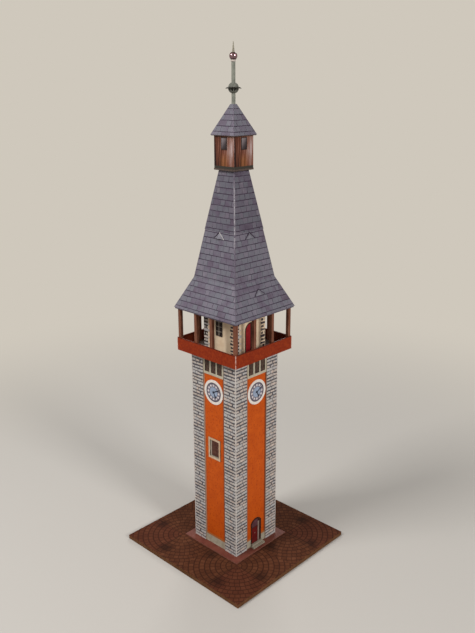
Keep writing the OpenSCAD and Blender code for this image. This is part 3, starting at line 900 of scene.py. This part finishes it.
def stage():
    """A plain pale floor that fades into the background, and soft lamps."""
    fade_start, fade_end = 160.0, 520.0
    floor_half, floor_level = 3000.0, -0.05
    aim = Vector((0, 0, 150))
    backdrop = linear("#cfc8bc")
    dim_light = (0.34, 0.34, 0.34, 1)
    add, shader, point = card("pale_table", 0.85, 3.0)
    shader.inputs["Base Color"].default_value = linear("#b6b1aa")
    distance = add(VECTOR, point, operation="LENGTH").outputs["Value"]
    far = add(RAMP, distance, fade_start, fade_end, interpolation_type="SMOOTHSTEP")
    share = add("MULTIPLY", far, seen_straight(add))
    glow = add("ShaderNodeEmission", {"Color": backdrop, "Strength": 1.0})
    both = add("ShaderNodeMixShader", share, shader.outputs[0], glow)
    tree = prints["pale_table"].node_tree
    tree.links.new(both.outputs[0], tree.nodes["Material Output"].inputs["Surface"])
    floor = bpy.data.objects.new("floor", bpy.data.meshes.new("floor"))
    corners = [Vector((x * floor_half, y * floor_half, floor_level)) * MM for x, y in SQUARE]
    floor.data.from_pydata(corners, [], [(0, 1, 2, 3)])
    floor.data.materials.append(prints["pale_table"])
    bpy.context.scene.collection.objects.link(floor)

    world = bpy.data.worlds.new("studio")
    world.use_nodes = True
    bpy.context.scene.world = world
    tree = world.node_tree
    add = adder(tree)
    colour = over(add, seen_straight(add), dim_light, backdrop)
    tree.links.new(colour, tree.nodes["Background"].inputs["Color"])

    for name, place, size, power in (
        ("key_lamp", (-100, -1200, 700), 320, 11.0),
        ("fill_lamp", (-610, 225, 700), 300, 6.0),
        ("back_lamp", (900, 700, 760), 400, 4.0),
    ):
        lamp = bpy.data.lights.new(name, "AREA")
        lamp.size = size * MM
        lamp.energy = power
        held = bpy.data.objects.new(name, lamp)
        bpy.context.scene.collection.objects.link(held)
        held.location = Vector(place) * MM
        held.rotation_euler = (aim - Vector(place)).to_track_quat("-Z", "Y").to_euler()


camera()
stage()
bpy.context.scene.view_settings.view_transform = "Standard"

# Plates: slates print cool and dull; high on the spire a darker copy of them is painted shade; pier stones
# pale and warm, far quoins dark
plate_print("slate_print", ("#544955", "#605764", "#66656d", "#6c6570", "#7b777e"),
            cloud_size=8.0, shade=0.08, roughness=0.55)
plate_print("shaded_slate_print", ("#493f4b", "#544b58", "#5a5961", "#605863", "#6c686f"),
            cloud_size=8.0, shade=0.08, roughness=0.55)
plate_print("stone_print", ("#998a7f", "#aea095", "#aea8a2", "#a6a3a2", "#b8a699", "#c8bdb4"),
            cloud_size=2.2, shade=0.10, roughness=0.6, share=0.35)
plate_print("dark_stone_print", ("#2a2426", "#40383a", "#524a4a"),
            cloud_size=2.0, shade=0.10, roughness=0.6, share=0.35)
for make in (
    pier_ground, orange_card, plank_card, cobble_card, dial_card, sheet_card, board_card, post_card,
    ceiling_card, crown_card, metal_bead, port_card,
):
    make()
frame_card("row_window_print", panel_half, ("#a49a86", "#b6ac98", "#4c4c3e", "#2c221c", "#54443a"), 0.8)
frame_card("stair_window_print", stair_half, ("#b49678", "#c4aa90", "#9a6a44", "#6a6454", "#3a3024"), 2.0)
worn_fold("worn_pier_fold", "#8a8078", "#a0968c", "#c0b8b2")
worn_fold("worn_roof_seam", "#564c58", "#665e6a", "#8e888e", seam_low, seam_high)
worn_fold("worn_parapet_fold", "#8c3c20", "#984c34", "#bc9c90")

# Card printed in one ink: its two tones, the size in mm of their slight unevenness, and the roughness
for name, dark, light, size, roughness in (
    # Slate ink between the slates and on the folds, paler on the gablets
    ("slate_joint_ink", "#2c2230", "#3c3040", 1.4, 0.55),
    ("roof_fold_print", "#564c58", "#665e6a", 1.5, 0.6),
    ("gablet_print", "#66636a", "#75727a", 1.6, 0.6),
    # Grey-brown paving on the steps, dark planks on the floors, cream plaster painted brighter in the gallery
    # as painted light under the eaves
    ("step_print", "#857c6c", "#968c7c", 2.0, 0.6),
    ("gallery_floor_print", "#403430", "#54463f", 2.0, 0.6),
    ("lit_room_plaster_print", "#d6bb9b", "#e0c9ab", 3.0, 0.6),
    # Doors: brown-black outlines round red leaves, the room's leaf a brighter copy of the red as painted
    # light in the gallery's shade, a dim fanlight, a pale light, a copper-brown knob
    ("door_outline_print", "#2a1610", "#3a2016", 1.5, 0.6),
    ("red_door_print", "#500e0c", "#601412", 1.2, 0.6),
    ("lit_red_door_print", "#7c1418", "#8c1c20", 1.2, 0.6),
    ("fanlight_print", "#48282c", "#58363c", 1.2, 0.6),
    ("door_light_print", "#7c685e", "#8c7a70", 1.2, 0.6),
    ("door_knob_print", "#8a5a50", "#9a6c60", 0.5, 0.6),
    # Windows: near-black panes with pale bars, brown panes with pale reveals
    ("window_outline_print", "#241c18", "#302622", 1.5, 0.6),
    ("glazing_bar_print", "#8c8074", "#9c9084", 1.0, 0.6),
    ("brown_pane_print", "#42241c", "#5a3a2e", 1.6, 0.6),
    ("window_reveal_print", "#8a8474", "#a08c80", 1.5, 0.6),
    # Dials: pale blocks that stand out from the grey ring, and blue-black hands
    ("hour_block_print", "#c0b4b4", "#d0c8c8", 1.2, 0.6),
    ("dial_hand_print", "#141826", "#1e2432", 1.0, 0.6),
    # Finial: grey-green paint with a low sheen, bare paper that stays matt, the black rim of the crown
    ("mast_paint", "#6c6d64", "#7c7d72", 2.0, 0.5),
    ("spike_paint", "#787262", "#868070", 1.0, 0.45),
    ("collar_paper", "#a89c94", "#b8aca4", 1.0, 0.7),
    ("crown_rim_print", "#1e1c18", "#34322c", 1.0, 0.6),
    ("cut_paper_edge", "#938f90", "#a39f9e", 1.0, 0.7),
):
    add, shader, point = card(name, roughness)
    finish(shader, mottled(add, point, size, dark, light))

# The prints and paints, each with the nodes of the frame that carry it
sides = ("front", "left", "back", "right")
finishes = {
    "cobble_print": "base_board", "paving_print": "pavement_sheet", "step_print": "door_steps",
    "stone_joint_ink": "corner_piers", "row_window_print": "window_rows", "dial_print": "clock_faces",
    "stair_window_print": "stair_windows", "door_outline_print": "shaft_door room_door",
    "gallery_floor_print": "gallery_floor lantern_floor", "post_print": "corner_posts middle_posts",
    "lit_room_plaster_print": "room_walls", "window_outline_print": "room_windows",
    "ceiling_card": "gallery_ceiling lantern_soffit", "gablet_print": "middle_dormers low_dormers",
    "weathered_board_print": "lantern_walls", "grey_window_print": "lantern_windows",
    "mast_paint": "lower_mast upper_mast", "crown_print": "crown_cup crown_dome",
    "crown_rim_print": "crown_rim", "collar_paper": "ball_collar", "rose_metal_bead": "finial_ball",
    "spike_paint": "finial_spike", "orange_plaster_print": " ".join("shaft_wall_" + side for side in sides),
    "red_board_print": " ".join("parapet_" + side for side in sides),
    "slate_joint_ink": "upper_roof lantern_roof " + " ".join(
        roof + side for roof in ("skirt_", "middle_roof_") for side in sides),
}
for name, nodes in finishes.items():
    for node in nodes.split():
        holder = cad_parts[node]
        holder.data.materials.clear()
        holder.data.materials.append(prints[name])

# Slates: each roof by its half width and level at foot and top, its print and its first course
roofs = (
    ("skirt_slates", (eave_half, eave_low, skirt_half, skirt_top), "slate_print", 1.85),
    ("middle_slates", (skirt_half, skirt_top, middle_half, middle_top), "slate_print", 1.4),
    ("upper_slates", (upper_half, middle_top, upper_top_half, upper_top), "shaded_slate_print", 1.5),
    ("lantern_slates", (lantern_eave, roof_foot, roof_top_half, roof_top), "slate_print", 2.3),
)
courses = course_tree()
for seed, (name, tier, material, first) in enumerate(roofs, 1):
    roof_course(name, *tier, material, first, seed)

# Stones on the piers, and quoins on the room's corners over a dark ground
stone_course("pier_stones_far", pier_edge, pier_face, pier_face, pavement_top, shaft_top, "stone_print")
stone_course("pier_stones_near", -pier_face, -pier_edge, pier_face, pavement_top, shaft_top, "stone_print")
ground_end = quoin - 0.3
ground = [bar(-room_half, -room_half + ground_end, room_foot, room_top, room_half, PAPER, side)
          for side in SIDES]
piece("quoin_ground", ground, "window_outline_print")
stone_course("room_quoins_near", -room_half, -room_half + quoin, room_half + PAPER, room_foot, room_top,
             "stone_print", far_tooth=1.7)
stone_course("room_quoins_far", room_half - quoin, room_half, room_half, room_foot, room_top,
             "dark_stone_print", near_tooth=0.5, seed=8)

# Worn folds, and the seam up the spire between its left and front sides
pier = (pier_face, pavement_top, pier_face, shaft_top)
pier_folds = [corner_fold(*pier, wing=0.42, proud=PAPER + 0.02, side=side) for side in SIDES]
piece("pier_folds", pier_folds, "worn_pier_fold")
parapet = (parapet_half, parapet_low, parapet_half, parapet_high)
parapet_folds = [corner_fold(*parapet, wing=0.35, proud=PAPER, side=side) for side in SIDES]
piece("parapet_folds", parapet_folds, "worn_parapet_fold")
tiers = [roof[1] for roof in roofs]
hips = [corner_fold(*tier, wing=0.12, proud=0.09, side=side) for tier in tiers for side in SIDES]
piece("roof_folds", hips, "roof_fold_print")
seam = [corner_fold(*tier, wing=0.4, proud=0.12, side=FRONT) for tier in tiers[1:3]]
piece("roof_seam", seam, "worn_roof_seam")

# Gablet edges: dark lines of painted shade where a gablet meets the slope, one of them a pale cut edge on the
# left
line_width, line_proud = 0.45, 0.1
upper_fall = (upper_half - upper_top_half) / (upper_top - middle_top)
skirt_fall = (eave_half - skirt_half) / (skirt_top - eave_low)
middle_apex = levels("middle_dormers")[1]
low_apex = levels("low_dormers")[1]
gablets = [(middle_gablet_half, middle_gablet_low, middle_gablet_reach, middle_apex,
            upper_half - upper_fall * (middle_apex - middle_top), side) for side in SIDES]
gablets += [(low_gablet_half, low_gablet_low, low_gablet_reach, low_apex,
             eave_half - skirt_fall * (low_apex - eave_low), side) for side in (FRONT, BACK)]
painted_shade_edges = []
pale_edges = []
for half, foot, far, apex, apex_out, side in gablets:
    for u in (-half, half):
        start = (u, gablet_reach - far - line_proud, foot)
        edge = rib(start, (0, -apex_out - line_proud, apex), line_width, side)
        cut_edge = side == LEFT and u > 0
        (pale_edges if cut_edge else painted_shade_edges).append(edge)
piece("gablet_edges", painted_shade_edges, "slate_joint_ink")
piece("gablet_cut_edge", pale_edges, "cut_paper_edge")

# Windows of the shaft: two bars in each light of a row, and halfway up a reveal, a sill and a pane.
# Each of these stands out a little more than what it covers
reveal_out, sill_out, pane_out = 0.05, 0.06, 0.08
pocket = frame_face - pane_recess
bar_place, bar_half = 0.7, 0.12
row_bars = []
for side in SIDES:
    for light in (-1, 0, 1):
        for place in (-bar_place, bar_place):
            middle = light * (light_width + light_gap) + place
            row_bars.append(bar(middle - bar_half, middle + bar_half, row_low + row_sill, row_high - row_rail,
                                pocket, reveal_out, side))
piece("row_glazing_bars", row_bars, "brown_pane_print")
inner_half = stair_half - stair_frame
sill = stair_low + stair_frame
head = stair_high - stair_frame
reveal_left, reveal_right = 0.75 - inner_half, 1.6 - inner_half
sill_left, sill_height = 0.6 - inner_half, 0.8
pane_left, pane_right = 1.9 - inner_half, inner_half - 0.25
pane_low, pane_high = sill + 1.2, head - 0.2
reveals = []
panes = []
for side in (LEFT, RIGHT):
    reveals.append(bar(reveal_left, reveal_right, sill, head, pocket, reveal_out, side))
    reveals.append(bar(sill_left, inner_half, sill, sill + sill_height, pocket, sill_out, side))
    panes.append(bar(pane_left, pane_right, pane_low, pane_high, pocket, pane_out, side))
piece("stair_reveals", reveals, "window_reveal_print")
piece("stair_panes", panes, "brown_pane_print")

# Door at the foot: a leaf with its knob, a light beside it, and a fanlight over both
door_rise, jamb, threshold = 2.6, 0.7, 0.3
leaf_right, leaf_high = 1.2, door_high - 6.2
fan_spring, fan_rise, fan_right, fan_low = door_high - 3.2, 2.4, 1.4, door_high - 5.7
light_left, light_right, light_high = 1.5, 2.7, door_high - 3.0
knob_left, knob_right, knob_low, knob_high = -1.6, -1.0, door_low + 6.8, door_low + 7.6
foot_door = arch(door_half, door_low, door_high - door_rise, door_rise)
leaf = clipped(foot_door, -door_half + jamb, leaf_right, door_low + threshold, leaf_high)
piece("door_leaf", [prism(leaf, door_face, PAPER)], "red_door_print")
fanlight = clipped(arch(door_half - jamb, door_low, fan_spring, fan_rise), -door_half, fan_right, fan_low)
piece("door_fanlight", [prism(fanlight, door_face, PAPER)], "fanlight_print")
light = bar(light_left, light_right, door_low + threshold, light_high, door_face, PAPER)
piece("door_light", [light], "door_light_print")
knob = bar(knob_left, knob_right, knob_low, knob_high, door_face + PAPER, PAPER)
piece("door_knob", [knob], "door_knob_print")

# Room in the gallery: the leaf of its door, and an upright and three rails in each window
room_jamb, room_leaf_right = 0.5, -0.4
room_arch = room_door_half - room_jamb
leaf = arch(room_arch, room_foot, room_door_high - room_door_half, room_arch)
leaf = clipped(leaf, -room_door_half, room_leaf_right)
piece("room_door_leaf", [prism(leaf, room_door_face, PAPER)], "lit_red_door_print")
upright_half, upright_margin, upright_out = 0.2, 0.4, 0.14
rail_reach, rail_half, rail_out = 2.2, 0.15, 0.12
glass_back = glass_face - 0.15
glazing = []
for side in (LEFT, BACK, RIGHT):
    glazing.append(bar(-upright_half, upright_half, glass_low + upright_margin, glass_high - upright_margin,
                       glass_back, upright_out, side))
    for i in (1, 2, 3):
        level = glass_low + (glass_high - glass_low) * i / 4
        glazing.append(bar(-rail_reach, rail_reach, level - rail_half, level + rail_half,
                           glass_back, rail_out, side))
piece("room_glazing_bars", glazing, "glazing_bar_print")

# Dials: hour blocks, two hands one over the other, and a hub over both
grow(hour_tree(), "hour_blocks", {
    "Radius": 3.75, "Width": 1.0, "Length": 1.3, "Level": dial_level, "Out": dial_face, "Thickness": PAPER,
    "Hours": 12, "Material": prints["hour_block_print"]})
hub_radius, hub_corners = 0.7, 12
hub = []
for i in range(hub_corners):
    angle = i * math.pi / 6
    hub.append((hub_radius * math.cos(angle), dial_level + hub_radius * math.sin(angle)))
hands = []
for side in SIDES:
    hands.append(hand(62, 6.2, 0.42, dial_face + 2 * PAPER, side))
    hands.append(hand(152, 4.6, 0.58, dial_face + PAPER, side))
    hands.append(prism(hub, dial_face + 3 * PAPER, PAPER, side))
piece("dial_hands", hands, "dial_hand_print")
